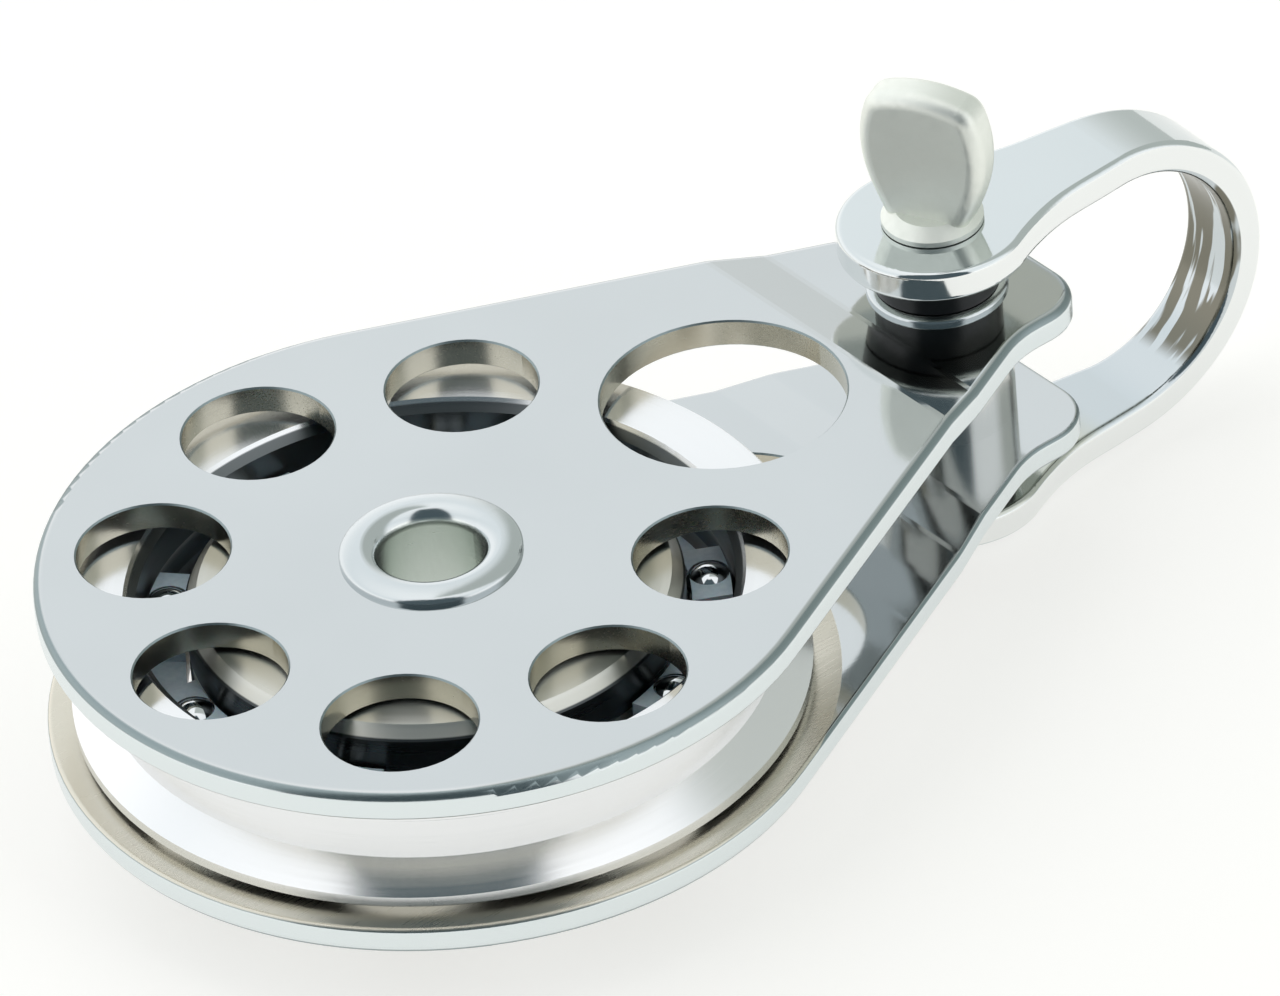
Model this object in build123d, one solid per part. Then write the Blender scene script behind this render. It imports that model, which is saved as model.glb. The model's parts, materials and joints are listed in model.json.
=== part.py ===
"""Single-sheave ball bearing block: two teardrop cheeks riveted round a ball bearing sheave,
with a strap shackle held on the head by a wing-headed pin.

Frame: millimetres. The origin is on the sheave's axis, midway between the cheeks. +X points
from the sheave to the shackle, +Z along the sheave's axis towards the wing head, +Y to the side.
"""

import math
import os

from build123d import *

# ---------------------------------------------------------------- cheeks
CHEEK_RADIUS = 28.5          # round end, about the sheave's axis
CHEEK_THICKNESS = 2.2
CHEEK_GAP = 9.7              # clear width between the flat parts of the two cheeks
CHEEK_EDGE_ROUND = 0.75      # rounding of the outer face's outline
CHEEK_INNER_ROUND = 0.35     # rounding of the inner face's outline
SMALL_HOLE_RADIUS = 5.55
SMALL_HOLE_CIRCLE = CHEEK_RADIUS - 8.5   # radius of the circle the small holes lie on
SMALL_HOLE_COUNT = 8         # equal places round the circle, the one towards the head left out
LARGE_HOLE_RADIUS = 8.95
LARGE_HOLE_X = CHEEK_RADIUS - 1.5
HOLE_CHAMFER = 0.12
TAB_HALF_WIDTH = 8.9
PIN_X = CHEEK_RADIUS + 18.6  # the shackle pin's axis
TAB_END_X = PIN_X + 7.5
TAB_CORNER_ROUND = 4.2
TAB_NECK_ROUND = 8.0         # hollow curve where the sloping side turns into the tab
TAB_NECK_X = PIN_X + 0.3     # where each sloping side would meet the tab's side
BEND_START_X = PIN_X - 10.6  # the head is set inwards between these two bend lines
BEND_END_X = PIN_X - 6.6
BEND_DEPTH = 0.55
BEND_ROUND = 3.0             # radius of the two soft bends

# ---------------------------------------------------------------- hub
HUB_BORE_RADIUS = 3.8
HUB_TUBE_RADIUS = 4.7
HUB_FLANGE_RADIUS = 6.6
HUB_FLANGE_HEIGHT = 0.8
HUB_FIT = 0.03               # radial clearance round the riveted tube
FLANGE_EDGE = 0.2            # height of the upright edge of a rolled-over flange
FLANGE_RIDGE_SHARE = 0.45    # where the flange is highest, from its mouth to its edge

# ---------------------------------------------------------------- bearing
BALL_RADIUS = 1.984
BALL_CIRCLE = SMALL_HOLE_CIRCLE - 0.3    # radius of the circle the ball centres lie on
BALL_COUNT = 9
BALL_START_ANGLE = -30.0     # degrees from +X to the first ball
BALL_RUNNING_GAP = 0.06      # between a ball and each raceway
TRACK_DEPTH = 0.25           # how deep both ball tracks are cut
RACE_BOSS_RADIUS = 10.0      # full-width boss clamped by the cheeks
RACE_BOSS_SLOPE = 0.5        # radial width of the slope from the boss to the face
RACE_FACE_RECESS = 0.25
RACE_RIM_CHAMFER = 0.9

# ---------------------------------------------------------------- ball cage
CAGE_RADIAL_GAP = 0.35       # between the cage and the two races
CAGE_RING_TOP = -1.9
CAGE_RING_BOTTOM = -3.7
CAGE_CLAW_TOP = 1.5
CAGE_CLAW_WIDTH = 1.0        # tangential thickness of a claw beside the ball
CAGE_POCKET_GAP = 0.12

# ---------------------------------------------------------------- sheave
SHEAVE_RADIUS = CHEEK_RADIUS - 1.9
SHEAVE_WIDTH = CHEEK_GAP - 0.9
SHEAVE_EDGE_ROUND = 0.25
SHEAVE_BORE_CHAMFER = 0.8
GROOVE_DEPTH = 2.3
GROOVE_MOUTH_HALF = 3.4      # half width at the rim
GROOVE_FLOOR_HALF = 1.6      # half width of the flat floor of the groove

# ---------------------------------------------------------------- head
PIN_RADIUS = 2.5
PIN_RUNNING_GAP = 0.08       # radial, in the bush and the upper ear
PIN_THREAD_GAP = 0.05        # radial, in the lower ear
BUSH_TUBE_RADIUS = 3.6
BUSH_FLANGE_RADIUS = 5.2
BUSH_FLANGE_HEIGHT = 0.65
BUSH_FIT = 0.03
SPACER_RADIUS = 5.2
WASHER_RADIUS = 4.65
WASHER_PIN_GAP = 0.15
WASHER_END_GAP = 0.1         # left between each washer and its ear

# ---------------------------------------------------------------- shackle
EAR_RADIUS = 7.1
STRAP_THICKNESS = 2.5
STRAP_INNER_HALF = 9.9       # half the clear width between the two ears
BOW_CENTRE = 14.8            # pin axis to the centre of the round crown
STRAP_NECK_STATIONS = ((9.5, 4.0), (12.5, 3.65), (15.5, 3.3), (21.0, 3.0), (28.0, 3.0))
EAR_LEAVE_ANGLE = 62.0       # degrees round the ear where the side leaves the circle
STRAP_EDGE_ROUND = 0.5
SHACKLE_REST_TURN = -3.0     # degrees the shackle lies round its pin at rest

# ---------------------------------------------------------------- wing pin
COLLAR_RADIUS = 3.75
COLLAR_TOP_RADIUS = 2.7
COLLAR_HEIGHT = 1.1
COLLAR_EDGE_HEIGHT = 0.4     # straight edge below the collar's cone
COLLAR_GAP = 0.08            # between the collar and the upper ear
WING_THICKNESS = 3.4
WING_FOOT_WIDTH = 6.4
WING_WIDTH = 9.8
WING_TOP_WIDTH = 8.0
WING_HEIGHT = 10.9
WING_SIDE = ((0.16, 0.45), (0.36, 0.86), (0.60, 1.0))   # share of the height, of the widening
WING_SHOULDER = 0.93         # share of the height where each side meets the crown
WING_SHOULDER_ROUND = 1.8
WING_SINK = 0.5              # how deep the wing's foot stands in the collar
WING_EDGE_ROUND = 1.1
WING_TURN = -64.0            # degrees from +X to the wing's long direction
PIN_END_OUT = 0.5            # how far the pin stands out of the lower ear
PIN_END_CHAMFER = 0.4

# ---------------------------------------------------------------- values that follow from these
CHEEK_INNER_Z = CHEEK_GAP / 2
CHEEK_OUTER_Z = CHEEK_INNER_Z + CHEEK_THICKNESS
TAB_INNER_Z = CHEEK_INNER_Z - BEND_DEPTH
TAB_OUTER_Z = CHEEK_OUTER_Z - BEND_DEPTH
EAR_TOP_Z = STRAP_INNER_HALF + STRAP_THICKNESS
TRACK_RADIUS = BALL_RADIUS + BALL_RUNNING_GAP
RACE_RIM_RADIUS = BALL_CIRCLE - TRACK_RADIUS + TRACK_DEPTH
SHEAVE_BORE_RADIUS = BALL_CIRCLE + TRACK_RADIUS - TRACK_DEPTH
OVERRUN = 1.0                # how far a cutter or slab reaches past the part
TOLERANCE = 0.01             # for telling corners and edges apart by their place


def ring(outer, inner, low, high):
    """Plain ring about the Z axis between two heights."""
    height = high - low
    body = Cylinder(outer, height)
    bore = Cylinder(inner, height + OVERRUN)
    return Pos(0, 0, (low + high) / 2) * (body - bore)


def upright(points):
    """(radius or x, z) pairs as points of the XZ plane."""
    return [(x, 0, z) for x, z in points]


def turned(points):
    """Solid of revolution about Z from (radius, height) points in order."""
    return revolve(make_face(Polyline(*upright(points), close=True)), Axis.Z)


def both_sides(upper):
    """A shape and its mirror image in the middle plane, as one solid."""
    return upper + mirror(upper, Plane.XY)


def flipped(shape):
    """The same part on the lower side of the block."""
    return mirror(shape, Plane.XY)


def cheek_outline():
    """Flat teardrop: a circle, two sides tangent to it, and the parallel-sided tab."""
    neck_away = math.hypot(TAB_NECK_X, TAB_HALF_WIDTH)
    touch_angle = math.atan2(TAB_HALF_WIDTH, TAB_NECK_X) + math.acos(CHEEK_RADIUS / neck_away)
    touch_x = CHEEK_RADIUS * math.cos(touch_angle)
    touch_y = CHEEK_RADIUS * math.sin(touch_angle)
    side = Line((touch_x, touch_y), (TAB_NECK_X, TAB_HALF_WIDTH))
    tab = Line((TAB_NECK_X, TAB_HALF_WIDTH), (TAB_END_X, TAB_HALF_WIDTH))
    end = Line((TAB_END_X, TAB_HALF_WIDTH), (TAB_END_X, -TAB_HALF_WIDTH))
    far_tab = Line((TAB_END_X, -TAB_HALF_WIDTH), (TAB_NECK_X, -TAB_HALF_WIDTH))
    far_side = Line((TAB_NECK_X, -TAB_HALF_WIDTH), (touch_x, -touch_y))
    back = ThreePointArc((touch_x, -touch_y), (-CHEEK_RADIUS, 0), (touch_x, touch_y))
    face = make_face([side, tab, end, far_tab, far_side, back])
    corners = [v for v in face.vertices() if v.X > TAB_END_X - TOLERANCE]
    face = fillet(corners, TAB_CORNER_ROUND)
    necks = [v for v in face.vertices() if abs(v.X - TAB_NECK_X) < TOLERANCE]
    return fillet(necks, TAB_NECK_ROUND)


def cheek_plate():
    """Side view of the plate, set inwards at the head by two soft bends, as a wide slab."""
    far = TAB_END_X + OVERRUN
    back = -CHEEK_RADIUS - OVERRUN
    side = make_face(Polyline(
        (back, CHEEK_OUTER_Z),
        (BEND_START_X, CHEEK_OUTER_Z),
        (BEND_END_X, TAB_OUTER_Z),
        (far, TAB_OUTER_Z),
        (far, TAB_INNER_Z),
        (BEND_END_X, TAB_INNER_Z),
        (BEND_START_X, CHEEK_INNER_Z),
        (back, CHEEK_INNER_Z),
        close=True,
    ))
    bends = [v for v in side.vertices() if BEND_START_X - TOLERANCE < v.X < BEND_END_X + TOLERANCE]
    side = Rot(90, 0, 0) * fillet(bends, BEND_ROUND)
    return extrude(side, amount=CHEEK_RADIUS + OVERRUN, both=True)


def small_hole_places():
    """Centres of the small holes, every eighth of a turn but the one at the large hole."""
    step = 360 / SMALL_HOLE_COUNT
    angles = [math.radians(step * i) for i in range(1, SMALL_HOLE_COUNT)]
    return [(SMALL_HOLE_CIRCLE * math.cos(a), SMALL_HOLE_CIRCLE * math.sin(a)) for a in angles]


def bevelled_cutter(x, y, radius):
    """Cutter for a through hole in the flat part of the cheek, bevelled at both faces."""
    middle = (CHEEK_INNER_Z + CHEEK_OUTER_Z) / 2
    cutter = Pos(x, y, middle) * Cylinder(radius, CHEEK_THICKNESS + 2 * OVERRUN)
    flare = OVERRUN + HOLE_CHAMFER
    reach = CHEEK_THICKNESS / 2 + OVERRUN - flare / 2
    top = Pos(x, y, middle + reach) * Cone(radius, radius + flare, flare)
    bottom = Pos(x, y, middle - reach) * Cone(radius + flare, radius, flare)
    return cutter + top + bottom


def outline_edges(plate, flat_z, tab_z):
    """Edges round the plate's rim on one face, without the bend lines that cross the plate."""
    low = min(flat_z, tab_z) - TOLERANCE
    high = max(flat_z, tab_z) + TOLERANCE
    found = []
    for edge in plate.edges():
        box = edge.bounding_box()
        crosses = box.max.X - box.min.X < TOLERANCE and box.max.X < TAB_END_X - TOLERANCE
        if box.min.Z > low and box.max.Z < high and not crosses:
            found.append(edge)
    return found


def make_cheek():
    """Upper cheek: teardrop plate with rounded edges, lightening holes and rivet holes."""
    plate = cheek_plate() & extrude(cheek_outline(), amount=CHEEK_OUTER_Z + OVERRUN)
    plate = fillet(outline_edges(plate, CHEEK_OUTER_Z, TAB_OUTER_Z), CHEEK_EDGE_ROUND)
    plate = fillet(outline_edges(plate, CHEEK_INNER_Z, TAB_INNER_Z), CHEEK_INNER_ROUND)
    for x, y in small_hole_places():
        plate -= bevelled_cutter(x, y, SMALL_HOLE_RADIUS)
    plate -= bevelled_cutter(LARGE_HOLE_X, 0, LARGE_HOLE_RADIUS)
    through = 2 * (CHEEK_OUTER_Z + OVERRUN)
    plate -= Cylinder(HUB_TUBE_RADIUS + HUB_FIT, through)
    plate -= Pos(PIN_X, 0, 0) * Cylinder(BUSH_TUBE_RADIUS + BUSH_FIT, through)
    return plate


def flanged_tube(bore, tube, flange, height, face_z):
    """Tubular rivet with a domed, rolled-over flange on each outer face at +-face_z.

    From its upright edge the flange rises in one curve to a ridge, and from the ridge a second
    curve runs down into the bore like the mouth of a trumpet.
    """
    ridge = bore + (flange - bore) * FLANGE_RIDGE_SHARE
    top = face_z + height
    edge_z = face_z + FLANGE_EDGE
    mouth_z = top - (ridge - bore)
    outline = [
        Line((bore, 0), (tube, 0)),
        Line((tube, 0), (tube, face_z)),
        Line((tube, face_z), (flange, face_z)),
        Line((flange, face_z), (flange, edge_z)),
        EllipticalCenterArc((ridge, edge_z), flange - ridge, top - edge_z, 0, arc_size=90),
        EllipticalCenterArc((ridge, mouth_z), ridge - bore, top - mouth_z, 90, arc_size=90),
        Line((bore, mouth_z), (bore, 0)),
    ]
    return both_sides(revolve(Rot(90, 0, 0) * make_face(outline), Axis.Z))


def make_hub_rivet():
    """Hollow axle rivet that holds the cheeks and the inner race together."""
    return flanged_tube(
        HUB_BORE_RADIUS, HUB_TUBE_RADIUS, HUB_FLANGE_RADIUS, HUB_FLANGE_HEIGHT, CHEEK_OUTER_Z
    )


def make_head_bush():
    """Tubular rivet through the two tabs; the shackle pin runs in it."""
    return Pos(PIN_X, 0, 0) * flanged_tube(
        PIN_RADIUS + PIN_RUNNING_GAP, BUSH_TUBE_RADIUS, BUSH_FLANGE_RADIUS, BUSH_FLANGE_HEIGHT,
        TAB_OUTER_Z,
    )


def ball_track():
    """Round track that both raceways are cut with."""
    return Torus(BALL_CIRCLE, TRACK_RADIUS)


def make_inner_race():
    """Disc clamped between the cheeks, with the inner ball track round its rim."""
    face_z = CHEEK_INNER_Z - RACE_FACE_RECESS
    upper = turned([
        (HUB_TUBE_RADIUS + HUB_FIT, 0),
        (HUB_TUBE_RADIUS + HUB_FIT, CHEEK_INNER_Z),
        (RACE_BOSS_RADIUS, CHEEK_INNER_Z),
        (RACE_BOSS_RADIUS + RACE_BOSS_SLOPE, face_z),
        (RACE_RIM_RADIUS - RACE_RIM_CHAMFER, face_z),
        (RACE_RIM_RADIUS, face_z - RACE_RIM_CHAMFER),
        (RACE_RIM_RADIUS, 0),
    ])
    return both_sides(upper) - ball_track()


def make_sheave():
    """Wheel with the rope groove outside and the outer ball track inside."""
    half_width = SHEAVE_WIDTH / 2
    groove_radius = SHEAVE_RADIUS - GROOVE_DEPTH
    upper = turned([
        (SHEAVE_BORE_RADIUS, 0),
        (SHEAVE_BORE_RADIUS, half_width - SHEAVE_BORE_CHAMFER),
        (SHEAVE_BORE_RADIUS + SHEAVE_BORE_CHAMFER, half_width),
        (SHEAVE_RADIUS - SHEAVE_EDGE_ROUND, half_width),
        (SHEAVE_RADIUS, half_width - SHEAVE_EDGE_ROUND),
        (SHEAVE_RADIUS, GROOVE_MOUTH_HALF),
        (groove_radius, GROOVE_FLOOR_HALF),
        (groove_radius, 0),
    ])
    return both_sides(upper) - ball_track()


def ball_angle(index):
    """Direction of one ball from the axis, in degrees."""
    return BALL_START_ANGLE + index * 360 / BALL_COUNT


def make_ball(index):
    """One bearing ball in its place between the raceways."""
    angle = math.radians(ball_angle(index))
    return Pos(BALL_CIRCLE * math.cos(angle), BALL_CIRCLE * math.sin(angle), 0) * Sphere(BALL_RADIUS)


def make_ball_cage():
    """Crown cage: a ring under the balls, with a pair of claws that rises round each ball."""
    outer = SHEAVE_BORE_RADIUS - CAGE_RADIAL_GAP
    inner = RACE_RIM_RADIUS + CAGE_RADIAL_GAP
    cage = ring(outer, inner, CAGE_RING_BOTTOM, CAGE_RING_TOP)
    band = ring(outer, inner, CAGE_RING_BOTTOM, CAGE_CLAW_TOP)
    across = 2 * (outer - inner)
    along = 2 * (BALL_RADIUS + CAGE_CLAW_WIDTH)
    height = CAGE_CLAW_TOP - CAGE_RING_BOTTOM
    middle = (CAGE_CLAW_TOP + CAGE_RING_BOTTOM) / 2
    block = Pos(BALL_CIRCLE, 0, middle) * Box(across, along, height)
    pocket = Pos(BALL_CIRCLE, 0, 0) * Sphere(BALL_RADIUS + CAGE_POCKET_GAP)
    for index in range(BALL_COUNT):
        cage += Rot(0, 0, ball_angle(index)) * block & band
    for index in range(BALL_COUNT):
        cage -= Rot(0, 0, ball_angle(index)) * pocket
    return cage


def make_head_spacer():
    """Tube that keeps the two tabs apart round the bush."""
    return Pos(PIN_X, 0, 0) * ring(SPACER_RADIUS, BUSH_TUBE_RADIUS + BUSH_FIT, -TAB_INNER_Z, TAB_INNER_Z)


def make_washer():
    """Dark washer between the bush's upper flange and the upper ear."""
    low = TAB_OUTER_Z + BUSH_FLANGE_HEIGHT
    high = STRAP_INNER_HALF - WASHER_END_GAP
    return Pos(PIN_X, 0, 0) * ring(WASHER_RADIUS, PIN_RADIUS + WASHER_PIN_GAP, low, high)


def strap_plan():
    """Top view of the shackle about its pin: round ear running into the narrow crown."""
    leave = math.radians(EAR_LEAVE_ANGLE)
    start = (EAR_RADIUS * math.cos(leave), EAR_RADIUS * math.sin(leave))
    along = (math.sin(leave), -math.cos(leave))
    upper_points = [start] + list(STRAP_NECK_STATIONS)
    lower_points = [(x, -y) for x, y in upper_points]
    upper = Spline(*upper_points, tangents=(along, (1, 0)))
    lower = Spline(*lower_points, tangents=((along[0], -along[1]), (1, 0)))
    end = Line(upper_points[-1], lower_points[-1])
    ear = ThreePointArc(start, (-EAR_RADIUS, 0), lower_points[0])
    return make_face([upper, end, lower, ear])


def half_round(half):
    """Half circle of the crown in the XZ plane, from the upper leg round to the lower leg."""
    return ThreePointArc((BOW_CENTRE, 0, half), (BOW_CENTRE + half, 0, 0), (BOW_CENTRE, 0, -half))


def strap_side():
    """Side view of the shackle: two flat legs joined by the half-round crown, as a wide slab."""
    outer = EAR_TOP_Z
    inner = STRAP_INNER_HALF
    back = -EAR_RADIUS - OVERRUN
    lines = [
        Line((back, 0, outer), (BOW_CENTRE, 0, outer)),
        half_round(outer),
        Line((BOW_CENTRE, 0, -outer), (back, 0, -outer)),
        Line((back, 0, -outer), (back, 0, -inner)),
        Line((back, 0, -inner), (BOW_CENTRE, 0, -inner)),
        half_round(inner),
        Line((BOW_CENTRE, 0, inner), (back, 0, inner)),
        Line((back, 0, inner), (back, 0, outer)),
    ]
    return extrude(make_face(lines), amount=EAR_RADIUS + OVERRUN, dir=(0, 1, 0), both=True)


def make_shackle_bow():
    """Bent strap with an ear each side of the head; the lower ear takes the pin's thread."""
    low = -EAR_TOP_Z - OVERRUN
    bow = strap_side() & Pos(0, 0, low) * extrude(strap_plan(), amount=-2 * low)
    bow = fillet(bow.edges(), STRAP_EDGE_ROUND)
    through = 2 * STRAP_THICKNESS + OVERRUN
    bow -= Pos(0, 0, EAR_TOP_Z) * Cylinder(PIN_RADIUS + PIN_RUNNING_GAP, through)
    bow -= Pos(0, 0, -EAR_TOP_Z) * Cylinder(PIN_RADIUS + PIN_THREAD_GAP, through)
    return Pos(PIN_X, 0, 0) * Rot(0, 0, SHACKLE_REST_TURN) * bow


def wing_blade(foot_z):
    """Flat oval wing standing on the collar, widest above its middle, with rounded edges."""
    half_foot = WING_FOOT_WIDTH / 2
    widening = WING_WIDTH / 2 - half_foot
    side = [(half_foot, foot_z)]
    side += [(half_foot + widening * w, foot_z + WING_HEIGHT * h) for h, w in WING_SIDE]
    shoulder = (WING_TOP_WIDTH / 2, foot_z + WING_HEIGHT * WING_SHOULDER)
    side.append(shoulder)
    right = Spline(*upright(side))
    left = Spline(*upright([(-x, z) for x, z in side]))
    base = Line((-half_foot, 0, foot_z), (half_foot, 0, foot_z))
    far_shoulder = (-shoulder[0], 0, shoulder[1])
    crown = ThreePointArc((shoulder[0], 0, shoulder[1]), (0, 0, foot_z + WING_HEIGHT), far_shoulder)
    face = make_face([base, right, crown, left])
    shoulders = [v for v in face.vertices() if v.Z > foot_z + TOLERANCE]
    face = fillet(shoulders, WING_SHOULDER_ROUND)
    slab = extrude(face, amount=WING_THICKNESS / 2, dir=(0, 1, 0), both=True)
    rim = [e for e in slab.edges() if e.bounding_box().max.Z > foot_z + TOLERANCE and lies_flat(e)]
    return fillet(rim, WING_EDGE_ROUND)


def lies_flat(edge):
    """True for an edge in one face of the blade, not one that runs through its thickness."""
    box = edge.bounding_box()
    return box.max.Y - box.min.Y < WING_THICKNESS / 2


def make_wing_pin():
    """Pin with a small coned collar and a flat oval wing to turn it by."""
    collar_z = EAR_TOP_Z + COLLAR_GAP
    end_z = -EAR_TOP_Z - PIN_END_OUT
    shank = Pos(0, 0, (collar_z + end_z) / 2) * Cylinder(PIN_RADIUS, collar_z - end_z)
    shank = chamfer(shank.edges().filter_by(GeomType.CIRCLE).sort_by(Axis.Z)[0], PIN_END_CHAMFER)
    collar = turned([
        (0, collar_z),
        (COLLAR_RADIUS, collar_z),
        (COLLAR_RADIUS, collar_z + COLLAR_EDGE_HEIGHT),
        (COLLAR_TOP_RADIUS, collar_z + COLLAR_HEIGHT),
        (0, collar_z + COLLAR_HEIGHT),
    ])
    blade = wing_blade(collar_z + COLLAR_HEIGHT - WING_SINK)
    return Pos(PIN_X, 0, 0) * Rot(0, 0, WING_TURN) * (shank + collar + blade)


def make_parts():
    """Every separate piece by its name."""
    upper_cheek = make_cheek()
    upper_washer = make_washer()
    parts = {
        "upper_cheek": upper_cheek,
        "lower_cheek": flipped(upper_cheek),
        "hub_rivet": make_hub_rivet(),
        "inner_race": make_inner_race(),
        "sheave": make_sheave(),
        "ball_cage": make_ball_cage(),
        "head_spacer": make_head_spacer(),
        "head_bush": make_head_bush(),
        "upper_washer": upper_washer,
        "lower_washer": flipped(upper_washer),
        "shackle_bow": make_shackle_bow(),
        "wing_pin": make_wing_pin(),
    }
    for index in range(BALL_COUNT):
        parts[f"ball_{index + 1}"] = make_ball(index)
    return parts


os.makedirs("parts", exist_ok=True)
for name, shape in make_parts().items():
    export_step(shape, f"parts/{name}.step")
    box = shape.bounding_box()
    print(f"{name:14s} volume {shape.volume:9.1f} mm3  z {box.min.Z:7.2f} to {box.max.Z:7.2f}")
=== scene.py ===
# %% [markdown]
# # A ball bearing pulley block
# The block hangs from a shackle and guides a rope. Two teardrop cheeks of stainless sheet are
# riveted round a bright sheave that runs on steel balls. Its shapes come from CAD, so this file
# gives each piece its finish, and adds the room, the light and the camera.

# %% Load the model
import json
import math

import bpy
import numpy as np
from mathutils import Matrix, Vector


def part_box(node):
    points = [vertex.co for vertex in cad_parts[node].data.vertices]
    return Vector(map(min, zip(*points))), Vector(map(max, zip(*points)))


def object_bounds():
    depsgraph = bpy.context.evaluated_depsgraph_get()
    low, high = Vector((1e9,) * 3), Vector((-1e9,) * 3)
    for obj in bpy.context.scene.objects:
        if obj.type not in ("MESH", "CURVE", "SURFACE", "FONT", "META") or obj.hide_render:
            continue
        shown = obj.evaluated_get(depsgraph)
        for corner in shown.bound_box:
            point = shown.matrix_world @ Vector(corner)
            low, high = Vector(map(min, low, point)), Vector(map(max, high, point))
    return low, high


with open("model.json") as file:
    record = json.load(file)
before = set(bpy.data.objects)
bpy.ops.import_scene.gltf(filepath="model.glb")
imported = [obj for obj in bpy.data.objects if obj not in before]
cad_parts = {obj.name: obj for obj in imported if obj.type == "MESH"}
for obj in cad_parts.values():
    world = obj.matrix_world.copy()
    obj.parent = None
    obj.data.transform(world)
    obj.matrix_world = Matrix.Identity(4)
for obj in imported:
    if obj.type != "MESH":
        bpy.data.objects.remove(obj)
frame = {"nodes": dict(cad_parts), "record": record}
cad_box = [list(corner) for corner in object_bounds()]
MM = 0.001
print("CAD nodes:", sorted(frame["nodes"]))

# %% [markdown]
# ## Camera
# A long lens from far away keeps the cheeks' round holes nearly true ellipses. The camera stands
# beyond the round end and to one side, and it leans a little, so that the block runs from the
# lower left to the upper right.

# %% Camera
AIM_POINT = Vector((20.4, 2.2, 0.0)) * MM
CAMERA_AZIMUTH = math.radians(-36.33)
CAMERA_ELEVATION = math.radians(36.33)
CAMERA_LEAN = math.radians(4.93)
CAMERA_DISTANCE = 1163 * MM
CAMERA_LENS = 453.8
SENSOR_WIDTH = 36.0


def direction(azimuth, elevation):
    """Unit vector from the object towards a place: azimuth 0 is -Y, elevation above the floor."""
    level = math.cos(elevation)
    return Vector((math.sin(azimuth) * level, -math.cos(azimuth) * level, math.sin(elevation)))


def make_camera():
    """Camera at aim + distance * direction, looking back at the aim and rolled by its lean."""
    lens = bpy.data.cameras.new("camera")
    lens.sensor_width = SENSOR_WIDTH
    lens.lens = CAMERA_LENS
    lens.clip_start = 0.05
    lens.clip_end = 20
    camera = bpy.data.objects.new("camera", lens)
    bpy.context.scene.collection.objects.link(camera)
    back = direction(CAMERA_AZIMUTH, CAMERA_ELEVATION)
    turn = (-back).to_track_quat("-Z", "Y").to_matrix().to_4x4()
    place = Matrix.Translation(AIM_POINT + back * CAMERA_DISTANCE)
    camera.matrix_world = place @ turn @ Matrix.Rotation(-CAMERA_LEAN, 4, "Z")
    bpy.context.scene.camera = camera
    return camera


camera = make_camera()
print("camera stands", round(camera.location.length, 3), "m from the sheave")

# %% [markdown]
# ## Small helpers
# Colours are written as sRGB hex, the way a colour picker shows them, and turned to linear light
# by one function. One more function adds a shader node with its settings and links.

# %% Helpers


def linear(code):
    """sRGB hex to linear RGBA: each part c is ((c + 0.055) / 1.055) ** 2.4, or c / 12.92 if dark."""
    parts = np.array([int(code[i:i + 2], 16) for i in (1, 3, 5)]) / 255
    lit = np.where(parts <= 0.04045, parts / 12.92, ((parts + 0.055) / 1.055) ** 2.4)
    return (*lit.tolist(), 1.0)


def add(tree, kind, inputs=None, **settings):
    """Adds one node. inputs maps a socket's name or number to a value or to another socket."""
    node = tree.nodes.new(kind)
    for key, value in settings.items():
        setattr(node, key, value)
    for key, value in (inputs or {}).items():
        if isinstance(value, bpy.types.NodeSocket):
            tree.links.new(value, node.inputs[key])
        else:
            node.inputs[key].default_value = value
    return node


def ramp(tree, factor, stops, ease="LINEAR"):
    """Colour ramp node from (position, hex colour or grey value) stops."""
    node = add(tree, "ShaderNodeValToRGB", {"Fac": factor})
    node.color_ramp.interpolation = ease
    while len(node.color_ramp.elements) < len(stops):
        node.color_ramp.elements.new(0.5)
    for element, (position, colour) in zip(node.color_ramp.elements, stops):
        element.position = position
        element.color = linear(colour) if isinstance(colour, str) else (colour, colour, colour, 1)
    return node


def new_material(name):
    """Empty node material with one Principled shader; returns material, tree and shader."""
    material = bpy.data.materials.new(name)
    material.use_nodes = True
    tree = material.node_tree
    return material, tree, tree.nodes["Principled BSDF"]


def finish_slot(slot, material):
    """Gives a finish to every CAD node whose record slot has this name."""
    wearers = [s["node"] for s in frame["record"]["subparts"] if s["material_slot"] == slot]
    for name in wearers:
        for place in frame["nodes"][name].material_slots:
            place.material = material
    print(material.name, "on", ", ".join(wearers))


# %% [markdown]
# ## Room and light
# Polished steel shows its surroundings more than itself. A white tent lights small hardware
# evenly, and the block lies on a light table, so that hardly any shadow is left. The tent's open
# front, behind the camera, is dark: it gives the bright rims their edges and the groove its dark
# patch. The tent is the world's own colour, worked out from the direction of each ray, so it
# needs no lamp. Seen from the back, the flat steel mirrors the open front and looks dark.

# %% Room and light
TENT_WALL = "#ffffff"
TENT_ROOF = "#e9edef"
TENT_FRONT = "#4c585d"
TENT_SIDE = "#b3b8b4"
TENT_STRENGTH = 1.3
FRONT_AZIMUTH = -41.0
FRONT_HALF_WIDTH = 38.0
FRONT_SOFT = 6.0
SIDE_AZIMUTH = 95.0
SIDE_HALF_WIDTH = 30.0
SIDE_SOFT = 20.0
OPENING_LOW = -0.1
OPENING_HIGH = 0.96
OPENING_SOFT = 0.03
TABLE_PAINT = "#b8b8b6"
TABLE_LIGHT = "#fffefb"
TABLE_GLOW = 0.62
FLOOR_GAP = 0.4 * MM
FLOOR_SIZE = 3.0


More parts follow.
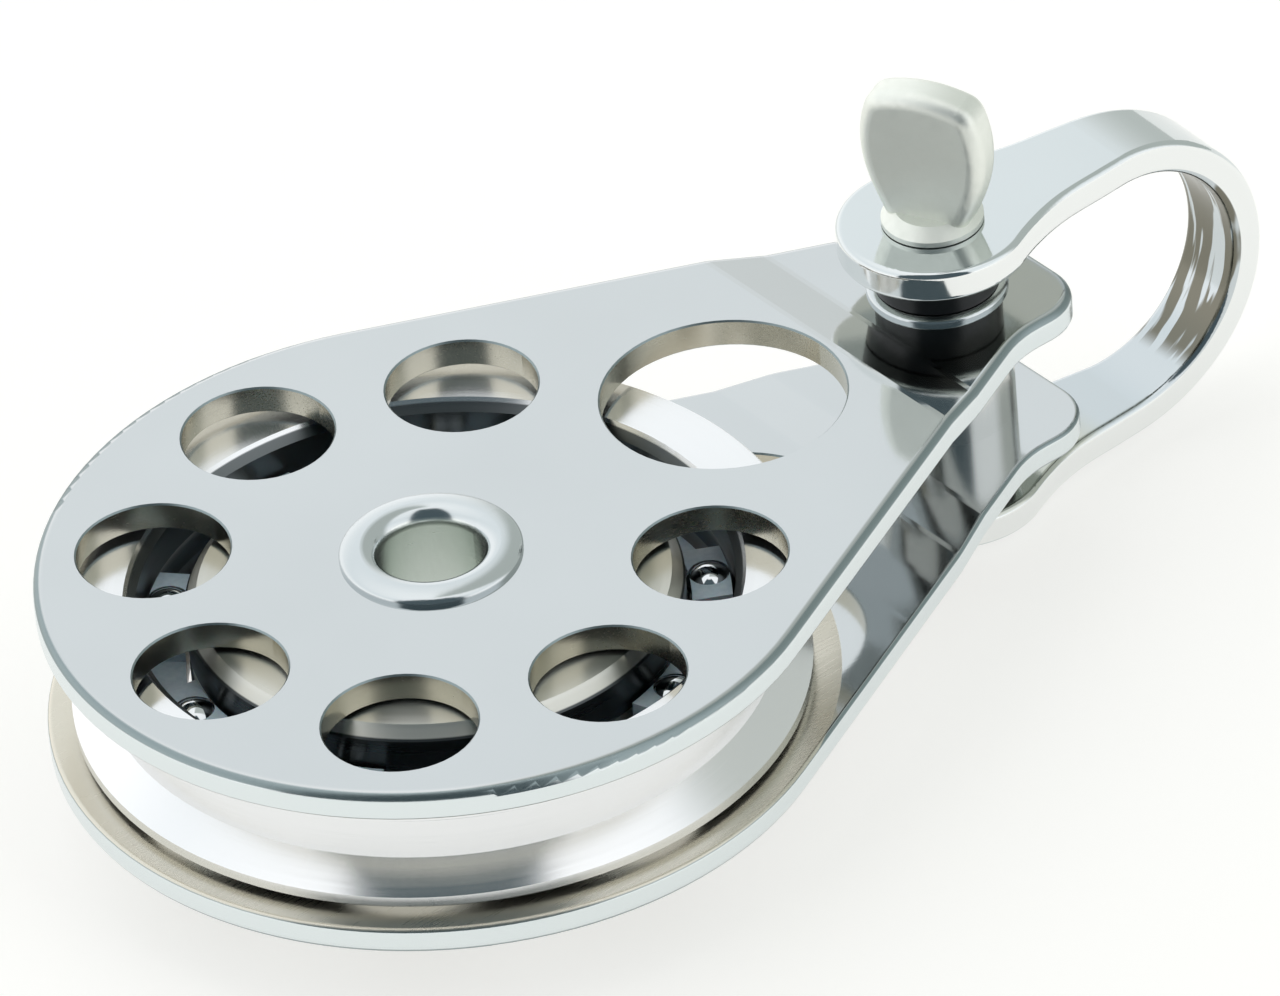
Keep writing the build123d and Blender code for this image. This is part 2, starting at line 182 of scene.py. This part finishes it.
def window(tree, value, low, high, soft):
    """1 where a value lies between low and high, falling to 0 over a soft edge outside them."""
    rise = add(
        tree, "ShaderNodeMapRange",
        {"Value": value, "From Min": low - soft, "From Max": low},
        interpolation_type="SMOOTHSTEP",
    )
    fall = add(
        tree, "ShaderNodeMapRange",
        {"Value": value, "From Min": high + soft, "From Max": high},
        interpolation_type="SMOOTHSTEP",
    )
    return add(
        tree, "ShaderNodeMath", {0: rise.outputs[0], 1: fall.outputs[0]}, operation="MULTIPLY"
    ).outputs[0]


def turn_from(tree, parts, azimuth):
    """Degrees between a ray's azimuth and another azimuth: arctan2 of its turned level parts."""
    angle = math.radians(azimuth)
    axes = []
    for across, along in ((math.cos(angle), math.sin(angle)), (math.sin(angle), -math.cos(angle))):
        x_part = add(tree, "ShaderNodeMath", {0: parts.outputs["X"], 1: across}, operation="MULTIPLY")
        both = add(
            tree, "ShaderNodeMath",
            {0: parts.outputs["Y"], 1: along, 2: x_part.outputs[0]}, operation="MULTIPLY_ADD",
        )
        axes.append(both.outputs[0])
    turn = add(tree, "ShaderNodeMath", {0: axes[0], 1: axes[1]}, operation="ARCTAN2")
    return add(tree, "ShaderNodeMath", {0: turn.outputs[0]}, operation="DEGREES").outputs[0]


def tent_world():
    """White tent: white walls, a slightly blue roof, a dark open front and one grey side."""
    world = bpy.data.worlds.new("tent")
    bpy.context.scene.world = world
    world.use_nodes = True
    tree = world.node_tree
    ray = add(tree, "ShaderNodeTexCoord").outputs["Generated"]
    parts = add(tree, "ShaderNodeSeparateXYZ", {0: ray})
    height = parts.outputs["Z"]
    shade = ramp(tree, height, [(0.0, TENT_WALL), (0.3, TENT_WALL), (0.62, TENT_ROOF), (1.0, TENT_WALL)])
    front_turn = turn_from(tree, parts, FRONT_AZIMUTH)
    front = window(tree, front_turn, -FRONT_HALF_WIDTH, FRONT_HALF_WIDTH, FRONT_SOFT)
    opening = window(tree, height, OPENING_LOW, OPENING_HIGH, OPENING_SOFT)
    dark = add(tree, "ShaderNodeMath", {0: front, 1: opening}, operation="MULTIPLY").outputs[0]
    side_turn = turn_from(tree, parts, SIDE_AZIMUTH)
    side = window(tree, side_turn, -SIDE_HALF_WIDTH, SIDE_HALF_WIDTH, SIDE_SOFT)
    colour = add(
        tree, "ShaderNodeMix", {0: side, 6: shade.outputs["Color"], 7: linear(TENT_SIDE)},
        data_type="RGBA",
    )
    colour = add(
        tree, "ShaderNodeMix", {0: dark, 6: colour.outputs[2], 7: linear(TENT_FRONT)},
        data_type="RGBA",
    )
    background = tree.nodes["Background"]
    tree.links.new(colour.outputs[2], background.inputs["Color"])
    background.inputs["Strength"].default_value = TENT_STRENGTH


def make_floor():
    """Light table: one flat square just under the block, pale and lit from below."""
    half = FLOOR_SIZE / 2
    low = cad_box[0][2] - FLOOR_GAP
    corners = [(-half, -half, low), (half, -half, low), (half, half, low), (-half, half, low)]
    mesh = bpy.data.meshes.new("light_table")
    mesh.from_pydata(corners, [], [(0, 1, 2, 3)])
    table = bpy.data.objects.new("light_table", mesh)
    bpy.context.scene.collection.objects.link(table)
    material, tree, shader = new_material("white_light_table")
    shader.inputs["Base Color"].default_value = linear(TABLE_PAINT)
    shader.inputs["Roughness"].default_value = 0.9
    shader.inputs["Specular IOR Level"].default_value = 0.2
    shader.inputs["Emission Color"].default_value = linear(TABLE_LIGHT)
    shader.inputs["Emission Strength"].default_value = TABLE_GLOW
    mesh.materials.append(material)


tent_world()
make_floor()
bpy.context.scene.view_settings.view_transform = "Standard"
print("light table at", round(cad_box[0][2] / MM, 2), "mm")

# %% [markdown]
# ## How a metal surface is put together
# A metal has no colour of its own beneath its mirror, so the steel's tint is its mirror's tint.
# Every metal here starts from the same three things. Fine lines, which a belt, a lathe or a
# tumbling drum leaves, raise and lower the surface by less than a hair. A cloudy noise shifts
# the tint a little. Both together shift the haze of the mirror. Zones then change the tint and
# the haze where a surface was worked in another way, such as a punched hole's wall, and some
# zones paint light or shade into the tint.

# %% Metal builder
LINE_DETAIL = 5.0
CLOUD_DETAIL = 3.0
CLOUD_SHADE = 0.92


def place_of(tree):
    """Object coordinates, in metres, fixed to the piece."""
    return add(tree, "ShaderNodeTexCoord").outputs["Object"]


def scaled(tree, per_mm):
    """Object coordinates in cycles, from a number of cycles per millimetre along each axis."""
    cycles = [rate / MM for rate in per_mm]
    return add(tree, "ShaderNodeMapping", {"Vector": place_of(tree), "Scale": cycles}).outputs[0]


def round_the_axis(tree, centre_x=0.0):
    """Distance in metres from an upright axis at centre_x on the X axis, and the height."""
    moved = add(tree, "ShaderNodeVectorMath", {0: place_of(tree), 1: (-centre_x, 0, 0)}, operation="ADD")
    parts = add(tree, "ShaderNodeSeparateXYZ", {0: moved.outputs[0]})
    level = add(tree, "ShaderNodeCombineXYZ", {"X": parts.outputs["X"], "Y": parts.outputs["Y"]})
    radius = add(tree, "ShaderNodeVectorMath", {0: level.outputs[0]}, operation="LENGTH")
    return radius.outputs["Value"], parts.outputs["Z"]


def uprightness(tree):
    """How much the surface faces up or down: 1 on a level face, 0 on an upright wall."""
    normal = add(tree, "ShaderNodeTexCoord").outputs["Normal"]
    height = add(tree, "ShaderNodeSeparateXYZ", {0: normal}).outputs["Z"]
    return add(tree, "ShaderNodeMath", {0: height}, operation="ABSOLUTE").outputs[0]


def metal(name, tint, haze, lines, line_depth, cloud_per_mm=0.06, zones=()):
    """Metal of a tint and haze. lines makes the line pattern's vector; zones are (mask maker,
    tint, haze), each laid over the ones before it."""
    material, tree, shader = new_material(name)
    line = add(
        tree, "ShaderNodeTexNoise",
        {"Vector": lines(tree), "Scale": 1.0, "Detail": LINE_DETAIL, "Roughness": 0.6},
    ).outputs["Fac"]
    cloud = add(
        tree, "ShaderNodeTexNoise",
        {"Vector": scaled(tree, [cloud_per_mm] * 3), "Scale": 1.0, "Detail": CLOUD_DETAIL},
    ).outputs["Fac"]
    light = linear(tint)
    shade = (*[part * CLOUD_SHADE for part in light[:3]], 1.0)
    colour = add(tree, "ShaderNodeMix", {0: cloud, 6: shade, 7: light}, data_type="RGBA").outputs[2]
    both = add(tree, "ShaderNodeMath", {0: line, 1: cloud}, operation="ADD").outputs[0]
    spread = add(
        tree, "ShaderNodeMapRange",
        {"Value": both, "From Min": 0.6, "From Max": 1.4, "To Min": 0.7, "To Max": 1.3},
    ).outputs["Result"]
    level = haze
    for make_mask, zone_tint, zone_haze in zones:
        mask = make_mask(tree)
        colour = add(
            tree, "ShaderNodeMix", {0: mask, 6: colour, 7: linear(zone_tint)}, data_type="RGBA"
        ).outputs[2]
        level = add(tree, "ShaderNodeMix", {0: mask, 2: level, 3: zone_haze}, data_type="FLOAT").outputs[0]
    rough = add(tree, "ShaderNodeMath", {0: spread, 1: level}, operation="MULTIPLY").outputs[0]
    bump = add(tree, "ShaderNodeBump", {"Height": line, "Strength": 1.0, "Distance": line_depth * MM})
    tree.links.new(colour, shader.inputs["Base Color"])
    tree.links.new(rough, shader.inputs["Roughness"])
    tree.links.new(bump.outputs["Normal"], shader.inputs["Normal"])
    shader.inputs["Metallic"].default_value = 1.0
    return material


# %% [markdown]
# ## Stainless steel plate
# The cheeks are punched from 316 stainless sheet, tumbled, and polished on a mop along their
# length. The mop can't reach into the holes, so their punched walls keep a straw tint and a
# satin look. The rounded rim is rougher and painted darker, as painted shade, and the upright
# wall below it is painted brighter, as a painted highlight. The ring of the inner face outside
# the sheave is rougher, and painted a warm pale tint as painted light on the shaded gap beside
# the sheave's rim. Each of these is a zone found from where the surface is and which way it faces.

# %% Cheeks
SMALL_HOLES_END = 26.2 * MM
LARGE_HOLE_CENTRE = 27.0 * MM
LARGE_HOLE_END = 9.4 * MM
SOFT = 0.1 * MM
MARGIN_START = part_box("sheave")[1][0] - 1 * MM
MARGIN_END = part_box("upper_cheek")[1][1]
INNER_FACE_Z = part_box("inner_race")[1][2] + 0.1 * MM


def hole_walls(tree):
    """Upright faces near the sheave's axis or round the large hole: the walls of the holes."""
    from_axis, _ = round_the_axis(tree)
    from_large, _ = round_the_axis(tree, LARGE_HOLE_CENTRE)
    near = window(tree, from_axis, -1.0, SMALL_HOLES_END, SOFT)
    large = window(tree, from_large, -1.0, LARGE_HOLE_END, SOFT)
    either = add(tree, "ShaderNodeMath", {0: near, 1: large}, operation="MAXIMUM").outputs[0]
    wall = window(tree, uprightness(tree), -1.0, 0.4, 0.1)
    return add(tree, "ShaderNodeMath", {0: either, 1: wall}, operation="MULTIPLY").outputs[0]


def dull_margin_painted_light(tree):
    """The ring of each inner face outside the sheave, which the cheeks make rougher and paint a warm pale
    tint, as painted light on the shaded gap beside the rim.
    """
    radius, height = round_the_axis(tree)
    away = add(tree, "ShaderNodeMath", {0: height}, operation="ABSOLUTE").outputs[0]
    ring = window(tree, radius, MARGIN_START, MARGIN_END, SOFT)
    inner = window(tree, away, -1.0, INNER_FACE_Z, SOFT)
    return add(tree, "ShaderNodeMath", {0: ring, 1: inner}, operation="MULTIPLY").outputs[0]


def painted_bright_wall(tree):
    """The upright wall of the rim, which the steels paint brighter as a painted highlight."""
    return window(tree, uprightness(tree), -1.0, 0.3, 0.15)


def painted_dark_rim(tree):
    """The part of a rounded edge that slopes between the flat face and the upright wall; the cheeks paint
    it darker as painted shade.
    """
    return window(tree, uprightness(tree), 0.45, 0.88, 0.09)


finish_slot("polished_plate", metal(
    "mopped_316_stainless_sheet", "#cdd1d2", 0.07, lambda tree: scaled(tree, (0.25, 6, 6)), 0.0005,
    zones=(
        # painted highlight: the upright walls are painted brighter
        (painted_bright_wall, "#dfe6e7", 0.22),
        # painted shade: the rounded rim is painted darker, and is also rougher
        (painted_dark_rim, "#8c999b", 0.34),
        # rougher finish, and a warm pale tint painted in as light on the shaded gap beside the sheave's
        # rim
        (dull_margin_painted_light, "#d6d2c5", 0.3),
        (hole_walls, "#c9c4b4", 0.24),
    ),
))

# %% [markdown]
# ## Tubes, strip and forging
# The tubular rivets were flared by rolling, which burnishes rings round them, and the hub
# rivet's bore is painted lighter, a painted highlight in its shaded hollow. The spacer is drawn
# tube, with lines along it. The pin is a tumbled forging: its wide, soft haze makes the wing look
# pale. The balls are ground to a mirror. The strip was polished on its outside only, so its
# inside keeps the rougher finish of the rolling mill; that inside is also painted a darker grey
# as painted shade, darkest and greenest on the ears over the head.

# %% Tubes, strip and forging

def strip_inside(tree):
    """The strap's inner face: the skin nearest to the legs' middle plane and the crown's axis."""
    place = add(tree, "ShaderNodeSeparateXYZ", {0: place_of(tree)})
    ahead = add(tree, "ShaderNodeMath", {0: place.outputs["X"], 1: -CROWN_X}, operation="ADD")
    past = add(tree, "ShaderNodeMath", {0: ahead.outputs[0], 1: 0.0}, operation="MAXIMUM")
    flat = add(tree, "ShaderNodeCombineXYZ", {"X": past.outputs[0], "Z": place.outputs["Z"]})
    reach = add(tree, "ShaderNodeVectorMath", {0: flat.outputs[0]}, operation="LENGTH")
    return window(tree, reach.outputs["Value"], -1.0, STRAP_INSIDE, SOFT)


def ear_inside(tree):
    """The part of the strap's inner face that lies over the head, on the two ears."""
    place = add(tree, "ShaderNodeSeparateXYZ", {0: place_of(tree)})
    behind = window(tree, place.outputs["X"], -1.0, EAR_END_X, EAR_END_SOFT)
    return add(tree, "ShaderNodeMath", {0: strip_inside(tree), 1: behind}, operation="MULTIPLY").outputs[0]


def crown_streaks(tree):
    """Long dull streaks on the inner face of the crown's far end, where the bar bent the strip."""
    place = add(tree, "ShaderNodeSeparateXYZ", {0: place_of(tree)})
    ahead = window(tree, place.outputs["X"], STREAKS_START_X, 1.0, STREAKS_SOFT)
    streak = add(
        tree, "ShaderNodeTexNoise",
        {"Vector": scaled(tree, STREAKS_PER_MM), "Scale": 1.0, "Detail": 2.0},
    ).outputs["Fac"]
    patch = window(tree, streak, STREAK_LEVEL, 1.0, STREAK_SOFT)
    both = add(tree, "ShaderNodeMath", {0: ahead, 1: patch}, operation="MULTIPLY").outputs[0]
    return add(tree, "ShaderNodeMath", {0: both, 1: strip_inside(tree)}, operation="MULTIPLY").outputs[0]


def painted_light_bore(tree):
    """The open bore of the hub's rivet, painted lighter as a painted highlight in its shaded hollow."""
    return window(tree, round_the_axis(tree)[0], -1.0, HUB_BORE, SOFT)


HUB_BORE = 3.9 * MM
bow_low, bow_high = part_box("shackle_bow")
CROWN_X = bow_high[0] - bow_high[2]
STRAP_NEARLY_THROUGH = 2.3 * MM
STRAP_INSIDE = bow_high[2] - STRAP_NEARLY_THROUGH
EAR_END_X = CROWN_X - 6 * MM
EAR_END_SOFT = 3 * MM
STREAKS_START_X = CROWN_X + 5.5 * MM
STREAKS_SOFT = 1.5 * MM
STREAK_LEVEL = 0.5
STREAK_SOFT = 0.06
STREAKS_PER_MM = (0.12, 1.1, 0.12)
finish_slot("rivet_steel", metal(
    "rolled_stainless_tube", "#d0d6d8", 0.16, lambda tree: scaled(tree, (0.6, 0.6, 5)), 0.0006,
    # painted highlight: the rivet's bore is painted lighter than the tube
    zones=((painted_light_bore, "#e9eeea", 0.25),),
))
finish_slot("spacer_steel", metal(
    "drawn_stainless_tube", "#e6e6e3", 0.2, lambda tree: scaled(tree, (4, 4, 0.3)), 0.0005,
))
finish_slot("strap_steel", metal(
    "polished_stainless_strip", "#d6dcdd", 0.07, lambda tree: scaled(tree, (0.2, 7, 0.2)), 0.0006,
    zones=(
        # painted highlight: the strip's upright edges are painted near white
        (painted_bright_wall, "#eff1f0", 0.1),
        # rougher mill finish, and a darker grey painted on the inward faces as painted shade
        (strip_inside, "#c6cdd0", 0.14),
        # painted shade: the ears' undersides over the head are painted a darker, greener grey
        (ear_inside, "#c4c7bf", 0.12),
        (crown_streaks, "#77756a", 0.2),
    ),
))
finish_slot("pin_steel", metal(
    "tumbled_stainless_forging", "#f0f3ec", 0.5, lambda tree: scaled(tree, (2, 2, 2)), 0.0002,
))
finish_slot("ball_steel", metal(
    "ground_ball_steel", "#d8dcde", 0.04, lambda tree: scaled(tree, (0.5, 0.5, 0.5)), 0.0001,
))

# %% [markdown]
# ## Turned metal
# The sheave and the inner race come off a lathe, whose tool leaves rings round the axis. The
# distance from the axis and the height are the same all round a ring, so a noise that reads only
# those two numbers draws true lathe rings, on flat faces and in the groove alike. Rings also
# smear a reflection across them, which the shader's anisotropy does once it is told which way
# the rings run: along the level direction at right angles to the radius. The ball tracks are
# painted dark, as painted shade for the deep cavity between the race and the sheave.

# %% Sheave and race
RING_SMEAR = 0.8
QUARTER_TURN = 0.25
race_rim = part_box("inner_race")[1][0]
TRACK_EDGE = race_rim - 0.1 * MM
BORE_EDGE = 22.0 * MM


def lathe_rings(per_mm):
    """Pattern vector (radius, 0, height) in cycles, the same all round each ring."""
    def lines(tree):
        radius, height = round_the_axis(tree)
        track = add(tree, "ShaderNodeCombineXYZ", {"X": radius, "Z": height})
        return add(
            tree, "ShaderNodeVectorMath", {0: track.outputs[0], "Scale": per_mm / MM},
            operation="SCALE",
        ).outputs[0]
    return lines


def smear_rings(material):
    """Turns a metal's haze into a smear across the rings, with their direction as tangent."""
    tree = material.node_tree
    shader = tree.nodes["Principled BSDF"]
    parts = add(tree, "ShaderNodeSeparateXYZ", {0: place_of(tree)})
    minus_y = add(tree, "ShaderNodeMath", {0: parts.outputs["Y"], 1: -1.0}, operation="MULTIPLY")
    along = add(tree, "ShaderNodeCombineXYZ", {"X": minus_y.outputs[0], "Y": parts.outputs["X"]})
    world = add(
        tree, "ShaderNodeVectorTransform", {0: along.outputs[0]},
        vector_type="VECTOR", convert_from="OBJECT", convert_to="WORLD",
    )
    tree.links.new(world.outputs[0], shader.inputs["Tangent"])
    shader.inputs["Anisotropic"].default_value = RING_SMEAR
    shader.inputs["Anisotropic Rotation"].default_value = QUARTER_TURN
    return material


def outside_radius(edge):
    """Mask maker: 1 further from the axis than an edge."""
    return lambda tree: window(tree, round_the_axis(tree)[0], edge, 1.0, SOFT)


def inside_radius(edge):
    """Mask maker: 1 nearer to the axis than an edge."""
    return lambda tree: window(tree, round_the_axis(tree)[0], -1.0, edge, SOFT)


finish_slot("sheave_metal", smear_rings(metal(
    "turned_6082_aluminium", "#f1f2f3", 0.2, lathe_rings(3), 0.001,
    # painted shade: the sheave's bore, facing the balls' cavity, is painted dark
    zones=((inside_radius(BORE_EDGE), "#6d7274", 0.3),),
)))
finish_slot("race_steel", smear_rings(metal(
    "turned_316_stainless", "#d9d9d2", 0.34, lathe_rings(4), 0.001,
    # painted shade: the race's track wall, facing the balls' cavity, is painted dark
    zones=((outside_radius(TRACK_EDGE), "#4f5355", 0.3),),
)))

# %% [markdown]
# ## Plastics
# The cage is moulded from natural nylon with a blue-grey tint: light goes a little way into it,
# so its edges glow. The washers are black acetal, turned from rod: a hard, slightly waxy sheen.

# %% Plastics


def plastic(name, tint, shade, rough, grain_per_mm, depth, glow=0.0):
    """Plastic: two close tints mixed by fine noise, a satin sheen and a faint grain."""
    material, tree, shader = new_material(name)
    grain = add(
        tree, "ShaderNodeTexNoise",
        {"Vector": scaled(tree, [grain_per_mm] * 3), "Scale": 1.0, "Detail": 3.0},
    ).outputs["Fac"]
    colour = add(
        tree, "ShaderNodeMix", {0: grain, 6: linear(shade), 7: linear(tint)}, data_type="RGBA"
    )
    bump = add(tree, "ShaderNodeBump", {"Height": grain, "Strength": 1.0, "Distance": depth * MM})
    tree.links.new(colour.outputs[2], shader.inputs["Base Color"])
    tree.links.new(bump.outputs["Normal"], shader.inputs["Normal"])
    shader.inputs["Roughness"].default_value = rough
    shader.inputs["Subsurface Weight"].default_value = glow
    shader.inputs["Subsurface Scale"].default_value = 1.0 * MM
    return material


finish_slot("cage_plastic", plastic("natural_nylon_66", "#dbe9f0", "#b4c8d3", 0.35, 2.0, 0.004, 0.2))
finish_slot("washer_black", plastic("black_acetal", "#17181a", "#0c0d0e", 0.3, 3.0, 0.003))
